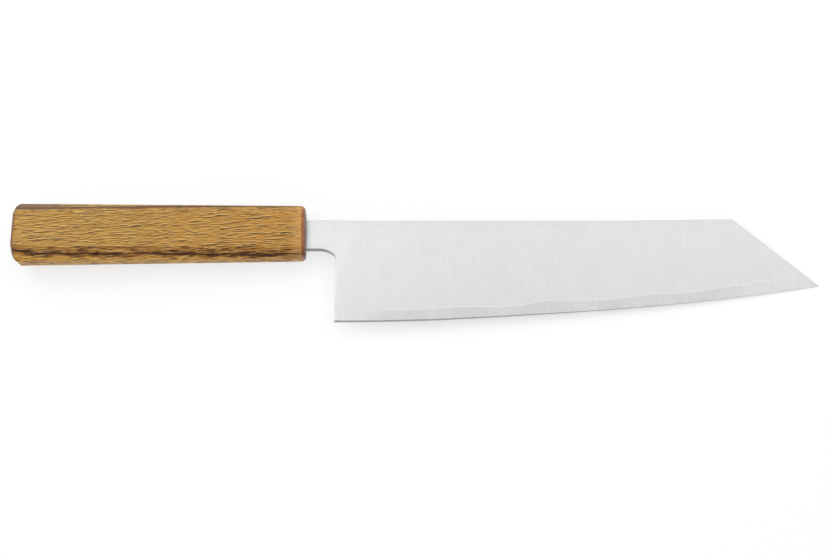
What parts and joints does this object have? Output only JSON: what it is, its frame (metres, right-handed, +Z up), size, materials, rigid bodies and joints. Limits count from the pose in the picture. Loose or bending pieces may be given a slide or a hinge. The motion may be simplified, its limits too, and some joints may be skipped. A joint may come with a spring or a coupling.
{
  "type": "kiritsuke kitchen knife",
  "caption": "Kitchen knife with a straight spine, slanted point, three-layer steel blade and a tapered octagonal oak handle.",
  "frame": {"origin": "bottom centre of the box round the knife as it lies on its left side on a table", "axes": "+X from the butt of the handle towards the tip, +Y from the edge towards the spine, +Z up, out of the right side of the blade"},
  "size_m": [0.3456, 0.051, 0.0217],
  "materials": {
    "core_steel": "hard stainless steel, satin ground, a shade darker than the cladding",
    "cladding_steel": "soft stainless steel with a fine hairline finish from spine to edge",
    "oak": "oak under clear golden-brown wiped lacquer, satin gloss",
    "adhesive": "cured epoxy, dark and matt"
  },
  "bodies": {
    "root": {"core_steel": "core_steel", "right_cladding": "cladding_steel", "left_cladding": "cladding_steel", "handle": "oak", "tang_adhesive": "adhesive"}
  },
  "joints": []
}
